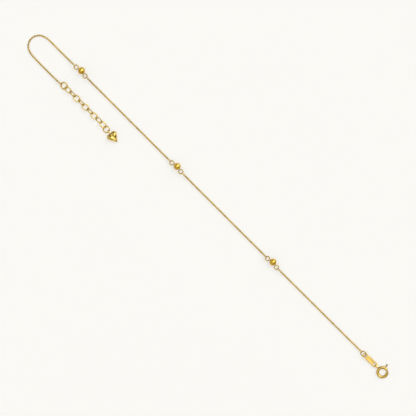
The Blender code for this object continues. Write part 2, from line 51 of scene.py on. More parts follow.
# Surface and light: directions point from the anklet to the light
FLOOR_WIDTH = 12.0
FLOOR_COLOUR = (0.956, 0.947, 0.913)
FLOOR_ALBEDO = 0.66
FLOOR_GLOW = 0.485
SKY_LOW = 0.16
SKY_HIGH = 0.9
SKY_RISE = (0.42, 0.88)
GLOWS = (
    {"towards": (0.0, 0.0, 1.0), "width": 5, "softness": 6, "strength": 0.4},
    {"towards": (0.0, 0.95, 1.0), "width": 5, "softness": 8, "strength": 2.8},
    {"towards": (-0.15, 1.0, 0.3), "width": 14, "softness": 12, "strength": 0.7},
    {"towards": (0.0, -1.0, 0.1), "width": 24, "softness": 16, "strength": 0.35},
    {"towards": (-1.0, -0.4, 0.5), "width": 12, "softness": 12, "strength": 0.4},
    {"towards": (-1.0, 0.4, 0.8), "width": 10, "softness": 10, "strength": -0.3},
    {"towards": (1.0, 0.5, 0.75), "width": 18, "softness": 16, "strength": -0.22},
)
SUN_TOWARDS = (0.1, 0.8, 1.0)
SUN_STRENGTH = 0.45
SUN_ANGLE = math.radians(60)

# Gold: its colour at grazing angles, and the noise behind its tone, wear, slow ripple and scratches
GOLD_RIM = (0.45, 0.38, 0.25)
TONE_GRAIN = 1.6 * MM
TONE_DETAIL = 3
TONE_STOPS = (0.35, 0.65)
WEAR_GRAIN = 0.35 * MM
WEAR_DETAIL = 6
WEAR_RANGE = (0.35, 0.7)
RIPPLE_GRAIN = 1.3 * MM
RIPPLE_DETAIL = 1
SCRATCH_GRAIN = 0.09 * MM
SCRATCH_DETAIL = 4
SCRATCH_STRETCH = (0.2, 1.4, 1.0)
SCRATCH_DEPTH = 0.002 * MM
SCRATCH_STRENGTH = 0.5

# Meshes: decimals kept of a place, the nearest that two points may lie, and shading over edges
PLACE_DIGITS = 7
SLIVER = 0.0002 * MM
SHARP_TURN = math.radians(35)
EDGE_STEPS = 2
FACE_WEIGHT = 100

# Round wire, with a swelling and a hairline where a loop is soldered shut
LOOP_STEPS = 601
RING_POINTS = 64
WIRE_SIDES = 16
JOINT_REACH = 0.16 * MM
JOINT_SWELLING = 0.07
HAIRLINE_REACH = 0.018 * MM
HAIRLINE_DEPTH = 0.16
JOINT_STOPS = np.array([-0.1, -0.05, -0.03, -0.012, 0, 0.012, 0.03, 0.05, 0.1]) * MM
END_TURNS = np.radians([20, 45, 70, 88])

# Wire loops by their outer sizes
LINK_COUNT = 9
LOOPS = {
    "tag_ring": {"length": 2.7 * MM, "width": 2.7 * MM, "wire": 0.38 * MM, "slot": "clasp_gold"},
    "end_ring": {"length": 3.3 * MM, "width": 3.3 * MM, "wire": 0.52 * MM, "slot": "chain_gold"},
    "heart_ring": {"length": 3.2 * MM, "width": 3.2 * MM, "wire": 0.44 * MM, "slot": "chain_gold"},
}
LINK = {"length": 3.515 * MM, "width": 2.65 * MM, "wire": 0.42 * MM, "slot": "chain_gold"}
RING_JOINT = 0.31
LINK_JOINTS = (0.5, 0.02)

# Beads and their pins
BEAD_COUNT = 3
BEAD_ACROSS_FLATS = 2.8 * MM
BEAD_LENGTH = 2.65 * MM
BEAD_CUT = 0.28 * MM
BEAD_EDGE = 0.03 * MM
BEAD_EDGE_TURN = math.radians(12)
BEAD_FLAT_TURN = math.radians(2)
BEAD_OUTER_SHARE = 0.65
BEAD_MERGING = 0.001 * MM
PIN_WIRE = 0.44 * MM
PIN_LOOP_WIDTH = 2.15 * MM
PIN_LOOP_STANDOFF = 0.15 * MM
PIN_LOOP_SIDESTEP = 0.48 * MM
PIN_LOOP_OPENING = math.radians(36)
PIN_LOOP_X = BEAD_LENGTH / 2 + PIN_LOOP_STANDOFF + PIN_LOOP_WIDTH / 2
PIN_LOOP_RADIUS = (PIN_LOOP_WIDTH - PIN_WIRE) / 2
PIN_LOOP = {"length": PIN_LOOP_WIDTH, "width": PIN_LOOP_WIDTH, "wire": PIN_WIRE}
PIN_END_EDGE = 0.08 * MM

# Fine cable chain: hook links join it to the loops and rings
CHAIN_WIDTH = 0.82 * MM
CHAIN_END_GAP = 0.06 * MM
CHAIN_SETTLING = 4.5 * MM
CHAIN_STEP = 0.1 * MM
CURVE_STEPS = 40
FINE_WIRE = 0.24 * MM
FINE_LENGTH = 1.06 * MM
FINE_WIDTH = 0.81 * MM
FINE_PLAY = 0.03 * MM
FINE_POINTS = 20
FINE_SIDES = 8
HOOK_LENGTH = 1.36 * MM
HOOK_WIDTH = 1.06 * MM
HOOK_GAP = 0.02 * MM
HOOK_LEAD = 0.5 * MM
FINE_LEAN = math.radians(8)
FINE_SWAY = math.radians(8)
FINE_SWAY_LENGTH = 21 * MM

# The last strand's way round from bead 3 to the extender, in millimetres from the bead's centre
U_TURN_ROUTE = (
    (-6.8, -0.51), (-11.8, -0.52), (-17.8, -0.50), (-19.85, -0.78), (-21.85, -1.55),
    (-23.25, -3.15), (-23.75, -5.25), (-23.15, -7.35), (-21.65, -8.87), (-19.65, -9.61),
    (-16.55, -9.87), (-8.3, -9.93), (-2.43, -9.83),
)

# Tag
TAG_HOLE_SPACING = 5.38 * MM
TAG_HOLE_WIDTH = 1.3 * MM
TAG_END_WIDTH = 2.24 * MM
TAG_NECK_WIDTH = 1.84 * MM
TAG_PLATE_WIDTH = 2.1 * MM
TAG_PLATE_LENGTH = 2.6 * MM
TAG_THICKNESS = 0.26 * MM
TAG_EDGE = 0.07 * MM
TAG_EDGE_STEPS = 3
TAG_MERGING = 0.0005 * MM
TAG_POINTS = 96
HOLE_POINTS = 40

# Spring ring and trigger, by angles anticlockwise from +X
CLASP_WIDTH = 5.0 * MM
CLASP_TUBE = 1.14 * MM
CLASP_WALL = 0.14 * MM
CLASP_MOUTH_START = math.radians(44)
CLASP_MOUTH_END = math.radians(78)
CLASP_POINTS = 120
CLASP_SIDES = 32
LIP_POINTS = 7
SLOT_POINTS = 40
BOLT_POINTS = 48
BOLT_CLEARANCE = 0.1 * MM
BOLT_ENGAGEMENT = math.radians(6)
BOLT_TAIL = math.radians(14)
KNOB_ANGLE = math.radians(103)
KNOB_NECK = 0.42 * MM
KNOB_REACH = 1.28 * MM
SLOT_CLEARANCE = 0.09 * MM
TRIGGER_TRAVEL = math.radians(40)
KNOB_PROFILE = (
    {"along": 0.0, "radius": 1.0}, {"along": 0.5, "radius": 1.0}, {"along": 0.6, "radius": 1.12},
    {"along": 0.7, "radius": 1.5}, {"along": 0.79, "radius": 1.8}, {"along": 0.89, "radius": 1.82},
    {"along": 0.95, "radius": 1.5}, {"along": 0.985, "radius": 0.9}, {"along": 1.0, "radius": 0.25},
)
EYE_WIRE = 0.4 * MM
EYE_REACH = 1.95 * MM
EYE_SINK = 0.35 * MM
EYE_CLEARANCE = 0.14 * MM
EYE_BREADTH = 1.9

# Puffed heart: a section's size and height are shares of the outline and of half the thickness
HEART_WIDTH = 4.5 * MM
HEART_LENGTH = 4.8 * MM
HEART_THICKNESS = 2.3 * MM
HEART_YAW = math.radians(-6)
HEART_LOBE_SHARE = 0.27
HEART_LOBE_POINTS = 5
HEART_SIDE_POINTS = 2
HEART_SECTIONS = (
    {"size": 1.0, "height": 0.12, "shift": 0.0},
    {"size": 0.76, "height": 0.72, "shift": 0.5},
    {"size": 0.38, "height": 1.0, "shift": 0.0},
)
HEART_VALLEY = 0.45
HEART_SEAM = 0.62
HEART_EDGE = 0.035 * MM
HEART_EDGE_TURN = math.radians(6)
BAIL_LENGTH = 2.3 * MM
BAIL_WIDTH = 1.6 * MM
BAIL_WIRE = 0.38 * MM
BAIL_SINK = 0.2 * MM
BAIL_BREADTH = 1.45

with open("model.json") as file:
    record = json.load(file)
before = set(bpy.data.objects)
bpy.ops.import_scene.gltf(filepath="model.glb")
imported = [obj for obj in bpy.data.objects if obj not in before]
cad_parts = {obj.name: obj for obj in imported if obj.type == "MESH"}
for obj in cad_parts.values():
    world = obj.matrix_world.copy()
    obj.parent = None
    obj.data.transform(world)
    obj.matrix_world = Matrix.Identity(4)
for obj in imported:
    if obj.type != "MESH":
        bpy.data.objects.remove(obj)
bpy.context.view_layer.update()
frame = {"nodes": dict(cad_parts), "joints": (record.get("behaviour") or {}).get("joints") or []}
PIECES = bpy.data.collections.new("anklet_looks")
bpy.context.scene.collection.children.link(PIECES)


# Wire
def distances(path):
    """How far along the path each of its points is."""
    return np.concatenate([[0], np.cumsum(np.linalg.norm(np.diff(path, axis=0), axis=1))])


def arc_line(radius, start, end, count, middle_x=0.0):
    """Points on an arc that lies flat in XY, between two angles."""
    turns = np.linspace(start, end, count)
    return np.column_stack(
        [middle_x + radius * np.cos(turns), radius * np.sin(turns), np.zeros(count)]
    )


def with_ends(line, radius, edge):
    """The line with stations past both ends that round them off, and a radius for each station."""
    line = np.array(line, float)
    start = (line[0] - line[1]) / np.linalg.norm(line[0] - line[1])
    end = (line[-1] - line[-2]) / np.linalg.norm(line[-1] - line[-2])
    reach = edge * np.sin(END_TURNS)[:, None]
    radii = radius - edge * (1 - np.cos(END_TURNS))
    longer = np.vstack([(line[0] + start * reach)[::-1], line, line[-1] + end * reach])
    return longer, np.concatenate([radii[::-1], np.full(len(line), radius), radii])


def rims(line, across, radii, sides):
    """A circle of corners round each point of a flat line, upright and along its across direction."""
    up = np.array([0.0, 0.0, 1.0])
    turns = math.tau * np.arange(sides) / sides
    rim = np.cos(turns)[None, :, None] * across[:, None] + np.sin(turns)[None, :, None] * up
    corners = line[:, None] + rim * np.asarray(radii, float)[:, None, None]
    return corners.reshape(-1, 3)


def rim_faces(count, sides, closed):
    """Faces between each rim and the next, and from the last to the first where it is closed."""
    rows = count if closed else count - 1
    first, side = np.divmod(np.arange(rows * sides), sides)
    second = (first + 1) % count
    beside = (side + 1) % sides
    faces = np.column_stack([first * sides + side, first * sides + beside])
    return np.column_stack([faces, second * sides + beside, second * sides + side]).tolist()


def swept(line, radii, sides, closed):
    """Corners and faces of round wire along a line that lies flat in XY, a radius for each point."""
    line = np.asarray(line, float)
    if closed:
        along = np.roll(line, -1, axis=0) - np.roll(line, 1, axis=0)
    else:
        along = np.gradient(line, axis=0)
    along /= np.linalg.norm(along, axis=1)[:, None]
    across = np.column_stack([-along[:, 1], along[:, 0], np.zeros(len(line))])
    faces = rim_faces(len(line), sides, closed)
    if not closed:
        last = (len(line) - 1) * sides
        faces.append(list(range(sides))[::-1])
        faces.append([last + step for step in range(sides)])
    return rims(line, across, radii, sides), faces


# Meshes
def piece_from(name, corners, faces, place=Matrix.Identity(4)):
    """A new object with the corners taken to the given place and its faces turned outwards."""
    mesh = bpy.data.meshes.new(name)
    mesh.from_pydata([place @ Vector(corner) for corner in corners], [], faces)
    shape = bmesh.new()
    shape.from_mesh(mesh)
    bmesh.ops.recalc_face_normals(shape, faces=shape.faces)
    shape.to_mesh(mesh)
    shape.free()
    mesh.shade_smooth()
    piece = bpy.data.objects.new(name, mesh)
    PIECES.objects.link(piece)
    return piece


def joined(shapes):
    """Several lots of corners and faces as one."""
    corners = []
    faces = []
    for more_corners, more_faces in shapes:
        shift = len(corners)
        corners.extend(more_corners)
        faces.extend([[corner + shift for corner in face] for face in more_faces])
    return corners, faces


def modified(piece, kind, **settings):
    """Adds a modifier of the given kind with the given settings."""
    modifier = piece.modifiers.new(kind.lower(), kind)
    for setting, value in settings.items():
        setattr(modifier, setting, value)
    return modifier


def baked(piece):
    """Applies the piece's modifiers."""
    graph = bpy.context.evaluated_depsgraph_get()
    mesh = bpy.data.meshes.new_from_object(piece.evaluated_get(graph))
    piece.modifiers.clear()
    piece.data = mesh
    return piece


def combined(piece, other, operation):
    """Joins the other shape to the piece or cuts it out of it, and leaves no slivers."""
    modified(piece, "BOOLEAN", object=other, operation=operation, solver="EXACT")
    baked(piece)
    bpy.data.objects.remove(other, do_unlink=True)
    shape = bmesh.new()
    shape.from_mesh(piece.data)
    bmesh.ops.remove_doubles(shape, verts=shape.verts, dist=SLIVER)
    bmesh.ops.dissolve_degenerate(shape, edges=shape.edges, dist=SLIVER)
    shape.to_mesh(piece.data)
    shape.free()
    return piece


def smoothed(piece):
    """Smooth shading, except over edges that turn by more than SHARP_TURN."""
    piece.data.shade_smooth()
    piece.data.set_sharp_from_angle(angle=SHARP_TURN)


def edged(piece, width, turn):
    """Rounds the piece's sharper edges."""
    bevel = {"width": width, "segments": EDGE_STEPS, "limit_method": "ANGLE", "angle_limit": turn}
    modified(piece, "BEVEL", miter_outer="MITER_ARC", **bevel)
    return baked(piece)


def facets_kept(piece):
    """Smooth shading over the rounded edges alone, so that the facets look flat."""
    piece.data.shade_smooth()
    modified(piece, "WEIGHTED_NORMAL", mode="FACE_AREA", weight=FACE_WEIGHT, keep_sharp=True)
    return baked(piece)


def dressed(piece, body, slot, material, *nodes):
    """The piece rides on a body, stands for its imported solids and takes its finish."""
    piece.data.materials.clear()
    piece.data.materials.append(material)
    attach(piece, body)
    if nodes:
        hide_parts(*nodes)
    return piece


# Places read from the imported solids
def node_middle(name):
    """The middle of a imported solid's box."""
    low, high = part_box(name)
    return (low + high) / 2


def node_place(name, own_length=True):
    """A flat solid's own frame: Z square to its plane, X along its length or nearest to world X."""
    middle = node_middle(name)
    points = np.array([vertex.co for vertex in frame["nodes"][name].data.vertices])
    points = np.unique(np.round(points, PLACE_DIGITS), axis=0)
    axes = np.linalg.svd(points - np.array(middle), full_matrices=False)[2]
    normal = Vector(axes[2])
    if normal.z < 0:
        normal.negate()
    along = Vector(axes[0]) if own_length else Vector((1, 0, 0))
    if along.x < 0:
        along.negate()
    along = (along - along.dot(normal) * normal).normalized()
    turn = Matrix((along, normal.cross(along), normal)).transposed().to_4x4()
    return Matrix.Translation(middle) @ turn


# Gold
def link_nodes(tree, start, output, end, socket):
    tree.links.new(start.outputs[output], end.inputs[socket])


def noise(tree, place, grain, detail, stretch=(1, 1, 1)):
    """Noise whose grains are about that many metres across, stretched along the axes."""
    mapping = tree.nodes.new("ShaderNodeMapping")
    mapping.inputs["Scale"].default_value = stretch
    texture = tree.nodes.new("ShaderNodeTexNoise")
    texture.inputs["Scale"].default_value = 1 / grain
    texture.inputs["Detail"].default_value = detail
    link_nodes(tree, place, "Object", mapping, "Vector")
    link_nodes(tree, mapping, "Vector", texture, "Vector")
    return texture


def ranged(tree, source, output, low, high, to_low, to_high):
    """The source's value, with low to high spread over to_low to to_high."""
    spread = tree.nodes.new("ShaderNodeMapRange")
    spread.inputs["From Min"].default_value = low
    spread.inputs["From Max"].default_value = high
    spread.inputs["To Min"].default_value = to_low
    spread.inputs["To Max"].default_value = to_high
    link_nodes(tree, source, output, spread, "Value")
    return spread


def gold(name, pale, deep, smooth, dull, ripple):
    """Polished gold that varies from pale to deep, with fine wear, scratches and a slow ripple."""
    material = bpy.data.materials.new(name)
    material.use_nodes = True
    tree = material.node_tree
    shader = tree.nodes["Principled BSDF"]
    shader.inputs["Metallic"].default_value = 1
    shader.inputs["Specular Tint"].default_value = (*GOLD_RIM, 1)
    place = tree.nodes.new("ShaderNodeTexCoord")

    cloud = noise(tree, place, TONE_GRAIN, TONE_DETAIL)
    tone = tree.nodes.new("ShaderNodeValToRGB")
    tone.color_ramp.elements[0].position = TONE_STOPS[0]
    tone.color_ramp.elements[0].color = (*deep, 1)
    tone.color_ramp.elements[1].position = TONE_STOPS[1]
    tone.color_ramp.elements[1].color = (*pale, 1)
    link_nodes(tree, cloud, "Fac", tone, "Fac")
    link_nodes(tree, tone, "Color", shader, "Base Color")

    wear = noise(tree, place, WEAR_GRAIN, WEAR_DETAIL)
    finish = ranged(tree, wear, "Fac", *WEAR_RANGE, smooth, dull)
    link_nodes(tree, finish, "Result", shader, "Roughness")

    waves = noise(tree, place, RIPPLE_GRAIN, RIPPLE_DETAIL)
    slow = tree.nodes.new("ShaderNodeBump")
    slow.inputs["Strength"].default_value = 1
    slow.inputs["Distance"].default_value = ripple
    link_nodes(tree, waves, "Fac", slow, "Height")
    scratches = noise(tree, place, SCRATCH_GRAIN, SCRATCH_DETAIL, SCRATCH_STRETCH)
    fine = tree.nodes.new("ShaderNodeBump")
    fine.inputs["Strength"].default_value = SCRATCH_STRENGTH
    fine.inputs["Distance"].default_value = SCRATCH_DEPTH
    link_nodes(tree, scratches, "Fac", fine, "Height")
    link_nodes(tree, slow, "Normal", fine, "Normal")
    link_nodes(tree, fine, "Normal", shader, "Normal")
    return material


CHAIN_GOLD = gold(
    "chain_gold", pale=(0.83, 0.60, 0.14), deep=(0.63, 0.43, 0.075),
    smooth=0.14, dull=0.3, ripple=0.01 * MM,
)
# Painted shade: a darker copy of the clasp's gold for the thin wire pieces, with the shade on thin
# wire painted into its colour
SHADED_WIRE_GOLD = gold(
    "shaded_wire_gold", pale=(0.68, 0.48, 0.11), deep=(0.50, 0.33, 0.05),
    smooth=0.12, dull=0.26, ripple=0.01 * MM,
)
BEAD_GOLD = gold(
    "bead_gold", pale=(0.87, 0.575, 0.11), deep=(0.67, 0.41, 0.05),
    smooth=0.06, dull=0.16, ripple=0.015 * MM,
)
HEART_GOLD = gold(
    "heart_gold", pale=(0.86, 0.63, 0.20), deep=(0.72, 0.49, 0.11),
    smooth=0.07, dull=0.18, ripple=0.015 * MM,
)
CLASP_GOLD = gold(
    "clasp_gold", pale=(0.80, 0.57, 0.16), deep=(0.62, 0.42, 0.09),
    smooth=0.1, dull=0.22, ripple=0.03 * MM,
)
# Painted shade: a darker copy of the clasp's gold for the tag, with the plate's dimmer reflection
# painted into its colour
SHADED_TAG_GOLD = gold(
    "shaded_tag_gold", pale=(0.73, 0.51, 0.145), deep=(0.56, 0.37, 0.08),
    smooth=0.1, dull=0.22, ripple=0.03 * MM,
)


# Rings, links and pins
def loop_line(length, width, wire, count, joint=None, oval=False):
    """The middle of a loop's wire, and how far along it each point is from the joint."""
    turns = np.linspace(-math.pi / 2, 1.5 * math.pi, LOOP_STEPS)
    if oval:
        across = (length - wire) / 2 * np.cos(turns)
    else:
        across = (width - wire) / 2 * np.cos(turns)
        across += np.copysign((length - width) / 2, np.cos(turns))
    ring = np.column_stack([across, (width - wire) / 2 * np.sin(turns), np.zeros(LOOP_STEPS)])
    ring = np.vstack([ring, ring[:1]])
    travelled = distances(ring)
    stops = travelled[-1] * np.arange(count) / count
    away = None
    if joint is not None:
        middle = joint * travelled[-1]
        stops = stops[np.abs(stops - middle) > JOINT_STOPS[-1]]
        stops = np.sort(np.concatenate([stops, middle + JOINT_STOPS]))
        away = np.abs(stops - middle)
    return np.column_stack([np.interp(stops, travelled, column) for column in ring.T]), away


def ring_mesh(size, joint, oval=False):
    """A loop with its soldered joint: a slight swelling with a hairline round its middle."""
    line, away = loop_line(size["length"], size["width"], size["wire"], RING_POINTS, joint, oval)
    swelling = JOINT_SWELLING * np.exp(-((away / JOINT_REACH) ** 2))
    hairline = HAIRLINE_DEPTH * np.exp(-((away / HAIRLINE_REACH) ** 2))
    return swept(line, size["wire"] / 2 * (1 + swelling - hairline), WIRE_SIDES, True)


def upright_band(breadth):
    """Stands a loop on its side and makes its wire that many times as broad as it is thick."""
    return Matrix.Rotation(math.pi / 2, 4, "X") @ Matrix.Diagonal((1, 1, breadth, 1))


def make_rings():
    for name, size in LOOPS.items():
        place = node_place(name, own_length=False)
        ring = piece_from(name + "_wire", *ring_mesh(size, RING_JOINT), place)
        # The tag ring takes the darker wire gold with its painted shade
        material = SHADED_WIRE_GOLD if size["slot"] == "clasp_gold" else CHAIN_GOLD
        dressed(ring, "anklet", size["slot"], material, name)
    for number in range(1, LINK_COUNT + 1):
        node = f"extender_link_{number}"
        joint = LINK_JOINTS[number % 2]
        link = piece_from(node + "_wire", *ring_mesh(LINK, joint, True), node_place(node))
        dressed(link, "anklet", LINK["slot"], CHAIN_GOLD, node)


def pin_loop_middle(number, side):
    """The middle of a pin's loop: side is 1 towards the clasp and -1 away from it."""
    return node_middle(f"bead_{number}") + Vector((side * PIN_LOOP_X, -PIN_LOOP_SIDESTEP, 0))


def make_pin(number):
    """The wire through a bead: a straight stem whose ends turn round into loops."""
    node = f"bead_pin_{number}"
    meets = math.pi - math.asin(PIN_LOOP_SIDESTEP / PIN_LOOP_RADIUS)
    stem_end = PIN_LOOP_X + PIN_LOOP_RADIUS * math.cos(meets)
    stem_line = [(-stem_end, 0, 0), (0, 0, 0), (stem_end, 0, 0)]
    stem = with_ends(stem_line, PIN_WIRE / 2, PIN_END_EDGE)
    place = Matrix.Translation(node_middle(f"bead_{number}"))
    pin = piece_from(node + "_wire", *swept(*stem, WIRE_SIDES, False), place)
    closes = meets - math.tau + PIN_LOOP_OPENING
    loop_middle = arc_line(PIN_LOOP_RADIUS, meets, closes, RING_POINTS)
    loop = swept(*with_ends(loop_middle, PIN_WIRE / 2, PIN_END_EDGE), WIRE_SIDES, False)
    for side in (-1, 1):
        place = Matrix.Translation(pin_loop_middle(number, side)) @ Matrix.Diagonal((side, 1, 1, 1))
        combined(pin, piece_from("pin_loop", *loop, place), "UNION")
    smoothed(pin)
    return dressed(pin, "anklet", "bead_gold", SHADED_WIRE_GOLD, node)


def outer_edges(shape, middle):
    """The bead's edges that aren't on its flat ends or in its bore."""
    outer = []
    for edge in shape.edges:
        halfway = (edge.verts[0].co + edge.verts[1].co) / 2 - middle
        if math.hypot(halfway.y, halfway.z) > BEAD_OUTER_SHARE * BEAD_ACROSS_FLATS / 2:
            outer.append(edge)
    return outer


def make_bead(number):
    """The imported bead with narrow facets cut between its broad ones, and finely rounded edges."""
    node = f"bead_{number}"
    middle = node_middle(node)
    mesh = frame["nodes"][node].data.copy()
    shape = bmesh.new()
    shape.from_mesh(mesh)
    bmesh.ops.remove_doubles(shape, verts=shape.verts, dist=BEAD_MERGING)
    outer = outer_edges(shape, middle)
    corners = list({corner for edge in outer for corner in edge.verts})
    bmesh.ops.dissolve_limit(shape, angle_limit=BEAD_FLAT_TURN, verts=corners, edges=outer)
    cut = outer_edges(shape, middle)
    bmesh.ops.bevel(shape, geom=cut, offset=BEAD_CUT, segments=1, profile=0.5, affect="EDGES")
    shape.to_mesh(mesh)
    shape.free()
    bead = bpy.data.objects.new(node + "_cut", mesh)
    PIECES.objects.link(bead)
    edged(bead, BEAD_EDGE, BEAD_EDGE_TURN)
    bead.data.shade_flat()
    return dressed(bead, "anklet", "bead_gold", BEAD_GOLD, node)


# Fine chain
def smooth_curve(points, spacing):
    """Evenly spaced points on a smooth curve through the given ones."""
    known = np.array(points, float)
    ends = (2 * known[0] - known[1], 2 * known[-1] - known[-2])
    padded = np.vstack([ends[0], known, ends[1]])
    share = np.linspace(0, 1, CURVE_STEPS, endpoint=False)[:, None]
    path = []
    for before, start, end, after in zip(padded, padded[1:], padded[2:], padded[3:]):
        slope_start = (end - before) / 2
        slope_end = (after - start) / 2
        path.append(
            (2 * share**3 - 3 * share**2 + 1) * start
            + (share**3 - 2 * share**2 + share) * slope_start
            + (3 * share**2 - 2 * share**3) * end
            + (share**3 - share**2) * slope_end
        )
    path = np.vstack([*path, known[-1:]])
    travelled = distances(path)
    stops = np.linspace(0, travelled[-1], round(travelled[-1] / spacing) + 1)
    return np.column_stack([np.interp(stops, travelled, column) for column in path.T])


def fade(distance):
    """1 at a strand's end, easing to 0 where the chain has settled."""
    return 0.5 + 0.5 * np.cos(np.pi * np.clip(distance / CHAIN_SETTLING, 0, 1))


def lifted(path, start_height, end_height):
    """The flat path with heights: raised at both ends and settling on the surface between them."""
    from_start = distances(path)
    from_end = from_start[-1] - from_start
    rest = CHAIN_WIDTH / 2
    height = rest + (start_height - rest) * fade(from_start) + (end_height - rest) * fade(from_end)
    return np.column_stack([path, height])


def held_wire(size, place, end):
    """The point of a loop's wire nearest to a strand's end, with its direction and its width."""
    line, _ = loop_line(size["length"], size["width"], size["wire"], 4 * RING_POINTS)
    line = np.array([place @ Vector(point) for point in line])
    nearest = np.linalg.norm(line - end, axis=1).argmin()
    along = Vector(line[(nearest + 1) % len(line)] - line[nearest - 1]).normalized()
    return {"point": Vector(line[nearest]), "along": along, "wire": size["wire"]}


def link_frame(middle, along, normal):
    """A link's place: X along it and Z as near to the given normal as square to X allows."""
    along = Vector(along).normalized()
    normal = Vector(normal)
    normal = (normal - normal.dot(along) * along).normalized()
    turn = Matrix((along, normal.cross(along), normal)).transposed().to_4x4()
    return Matrix.Translation(middle) @ turn


def hook_link(held, towards):
    """The place of the link round a held wire, and the point where its far end holds the next."""
    along = (Vector(towards) - held["point"]).normalized()
    inner = (held["wire"] + FINE_WIRE) / 2 + HOOK_GAP
    middle = held["point"] + along * ((HOOK_LENGTH - FINE_WIRE) / 2 - inner)
    far_bar = held["point"] + along * (HOOK_LENGTH - FINE_WIRE - inner)
    return link_frame(middle, along, held["along"]), far_bar - along * (FINE_WIRE + FINE_PLAY / 2)


def small_link(length, width, count):
    """Corners and faces of one link of the fine chain."""
    line, _ = loop_line(length, width, FINE_WIRE, count)
    return swept(line, np.full(count, FINE_WIRE / 2), FINE_SIDES, True)


def placed(link, place):
    """A link's corners and faces, with the corners taken to the given place."""
    corners, faces = link
    return [place @ Vector(corner) for corner in corners], faces


def link_row(path, number):
    """A row of links along the path, each turned square to the next."""
    travelled = distances(path)
    reach = FINE_LENGTH - FINE_WIRE
    run = travelled[-1] - reach
    count = round(run / (FINE_LENGTH - 2 * FINE_WIRE - FINE_PLAY))
    count += count % 2
    link = small_link(FINE_LENGTH, FINE_WIDTH, FINE_POINTS)
    row = []
    for step in range(count + 1):
        middle = reach / 2 + run * step / count
        back, here, ahead = (
            [np.interp(middle + offset, travelled, column) for column in path.T]
            for offset in (-reach / 2, 0, reach / 2)
        )
        lean = FINE_LEAN + FINE_SWAY * math.sin(math.tau * middle / FINE_SWAY_LENGTH + number)
        roll = lean + math.pi / 2 * (step % 2)
        normal = (0, -math.sin(roll), math.cos(roll))
        along = np.subtract(ahead, back)
        normal = Matrix.Rotation(math.atan2(along[1], along[0]), 3, "Z") @ Vector(normal)
        row.append(placed(link, link_frame(here, along, normal)))
    return row


def make_strand(number, route, start_held, end_held):
    """One strand: a row of links with a hook link at both ends."""
    path = lifted(smooth_curve(route, CHAIN_STEP), start_held["height"], end_held["height"])
    start = held_wire(start_held["size"], start_held["place"], path[0])
    end = held_wire(end_held["size"], end_held["place"], path[-1])
    lead = round(HOOK_LEAD / CHAIN_STEP)
    start_hook, first_bar = hook_link(start, path[lead])
    end_hook, last_bar = hook_link(end, path[-1 - lead])
    path = np.vstack([[first_bar], path[2 * lead : -2 * lead], [last_bar]])
    hook = small_link(HOOK_LENGTH, HOOK_WIDTH, 2 * FINE_POINTS)
    shapes = link_row(path, number) + [placed(hook, place) for place in (start_hook, end_hook)]
    node = f"chain_strand_{number}"
    strand = piece_from(node + "_links", *joined(shapes))
    return dressed(strand, "anklet", "chain_gold", CHAIN_GOLD, node)


def pin_end(number, side):
    """A pin's loop as a strand's hold."""
    middle = pin_loop_middle(number, side)
    return {"height": middle.z, "size": PIN_LOOP, "place": Matrix.Translation(middle)}


def ring_end(node):
    place = node_place(node, own_length=False)
    return {"height": node_middle(node).z, "size": LOOPS[node], "place": place}


def past_loop(number, side):
    """The point just past a pin's loop where a strand ends."""
    middle = pin_loop_middle(number, side)
    return (middle.x + side * (PIN_LOOP_WIDTH / 2 + CHAIN_END_GAP), middle.y)


def make_strands():
    """The four strands from the clasp to the extender, along the same routes as their tubes."""
    clasp_end = (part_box("chain_strand_1")[1].x, node_middle("tag_ring").y)
    make_strand(1, (past_loop(1, 1), clasp_end), pin_end(1, 1), ring_end("tag_ring"))
    for number in range(2, BEAD_COUNT + 1):
        route = (past_loop(number, 1), past_loop(number - 1, -1))
        make_strand(number, route, pin_end(number, 1), pin_end(number - 1, -1))
    last = node_middle(f"bead_{BEAD_COUNT}")
    route = [past_loop(BEAD_COUNT, -1)]
    route += [(last.x + x * MM, last.y + y * MM) for x, y in U_TURN_ROUTE]
    make_strand(BEAD_COUNT + 1, route, pin_end(BEAD_COUNT, -1), ring_end("end_ring"))


# Tag
def tag_half_width(x):
    """Half the tag's width at x: a plate, a neck and then a round end."""
    away = abs(x)
    end_radius = TAG_END_WIDTH / 2
    from_hole = away - TAG_HOLE_SPACING / 2
    round_end = math.sqrt(max(0.0, end_radius**2 - from_hole**2))
    if away >= TAG_HOLE_SPACING / 2:
        return round_end
    past_plate = (away - TAG_PLATE_LENGTH / 2) / (TAG_HOLE_SPACING / 2 - TAG_PLATE_LENGTH / 2)
    blend = 0.5 - 0.5 * math.cos(math.pi * min(1, max(0, 2 * past_plate)))
    neck = TAG_PLATE_WIDTH / 2 + (TAG_NECK_WIDTH - TAG_PLATE_WIDTH) / 2 * blend
    return max(neck, round_end)


